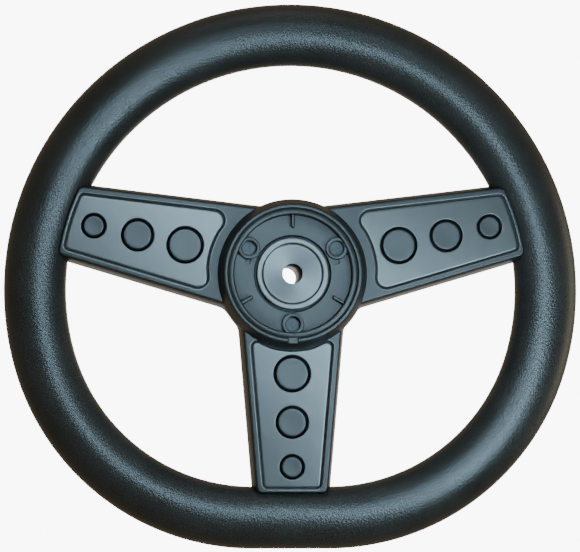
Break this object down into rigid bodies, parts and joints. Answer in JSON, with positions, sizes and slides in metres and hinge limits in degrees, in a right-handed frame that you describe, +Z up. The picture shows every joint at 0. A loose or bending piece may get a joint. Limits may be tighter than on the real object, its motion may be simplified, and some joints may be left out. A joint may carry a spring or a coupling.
{
  "type": "play steering wheel",
  "caption": "Moulded plastic play steering wheel with tapered arms and an open hub cup, turning freely on a flanged spindle that a through bolt clamps to a board.",
  "frame": {"origin": "on the turning axis, at the back of the post where it meets the board", "axes": "+Z up with the wheel straight, -Y out of the wheel's front towards the player, +X to the player's right"},
  "size_m": [0.305, 0.0767, 0.2898],
  "materials": {
    "grained_plastic": "fine moulded grain, satin",
    "smooth_plastic": "smooth, half gloss",
    "disc_plastic": "smooth, satin",
    "base_plastic": "satin",
    "bearing_nylon": "natural nylon",
    "screw_steel": "zinc plated"
  },
  "bodies": {
    "post": {"mount_base": "base_plastic", "spindle": "smooth_plastic", "front_washer": "screw_steel", "rear_washer": "screw_steel"},
    "wheel": {"spoke_frame": "smooth_plastic", "rim_front": "grained_plastic", "rim_back": "grained_plastic", "back_cover": "smooth_plastic", "front_bush": "bearing_nylon", "rear_bush": "bearing_nylon", "rim_screws": "screw_steel", "arm_screws": "screw_steel", "cover_screws": "screw_steel", "hub_screws": "screw_steel", "left_large_disc": "disc_plastic", "left_medium_disc": "disc_plastic", "left_small_disc": "disc_plastic", "right_large_disc": "disc_plastic", "right_medium_disc": "disc_plastic", "right_small_disc": "disc_plastic", "lower_large_disc": "disc_plastic", "lower_medium_disc": "disc_plastic", "lower_small_disc": "disc_plastic"}
  },
  "joints": [
    {"name": "wheel_spin", "type": "hinge", "parent": "post", "child": "wheel", "pos_m": [0, -0.052, 0], "axis": [0, -1, 0], "continuous": true}
  ]
}
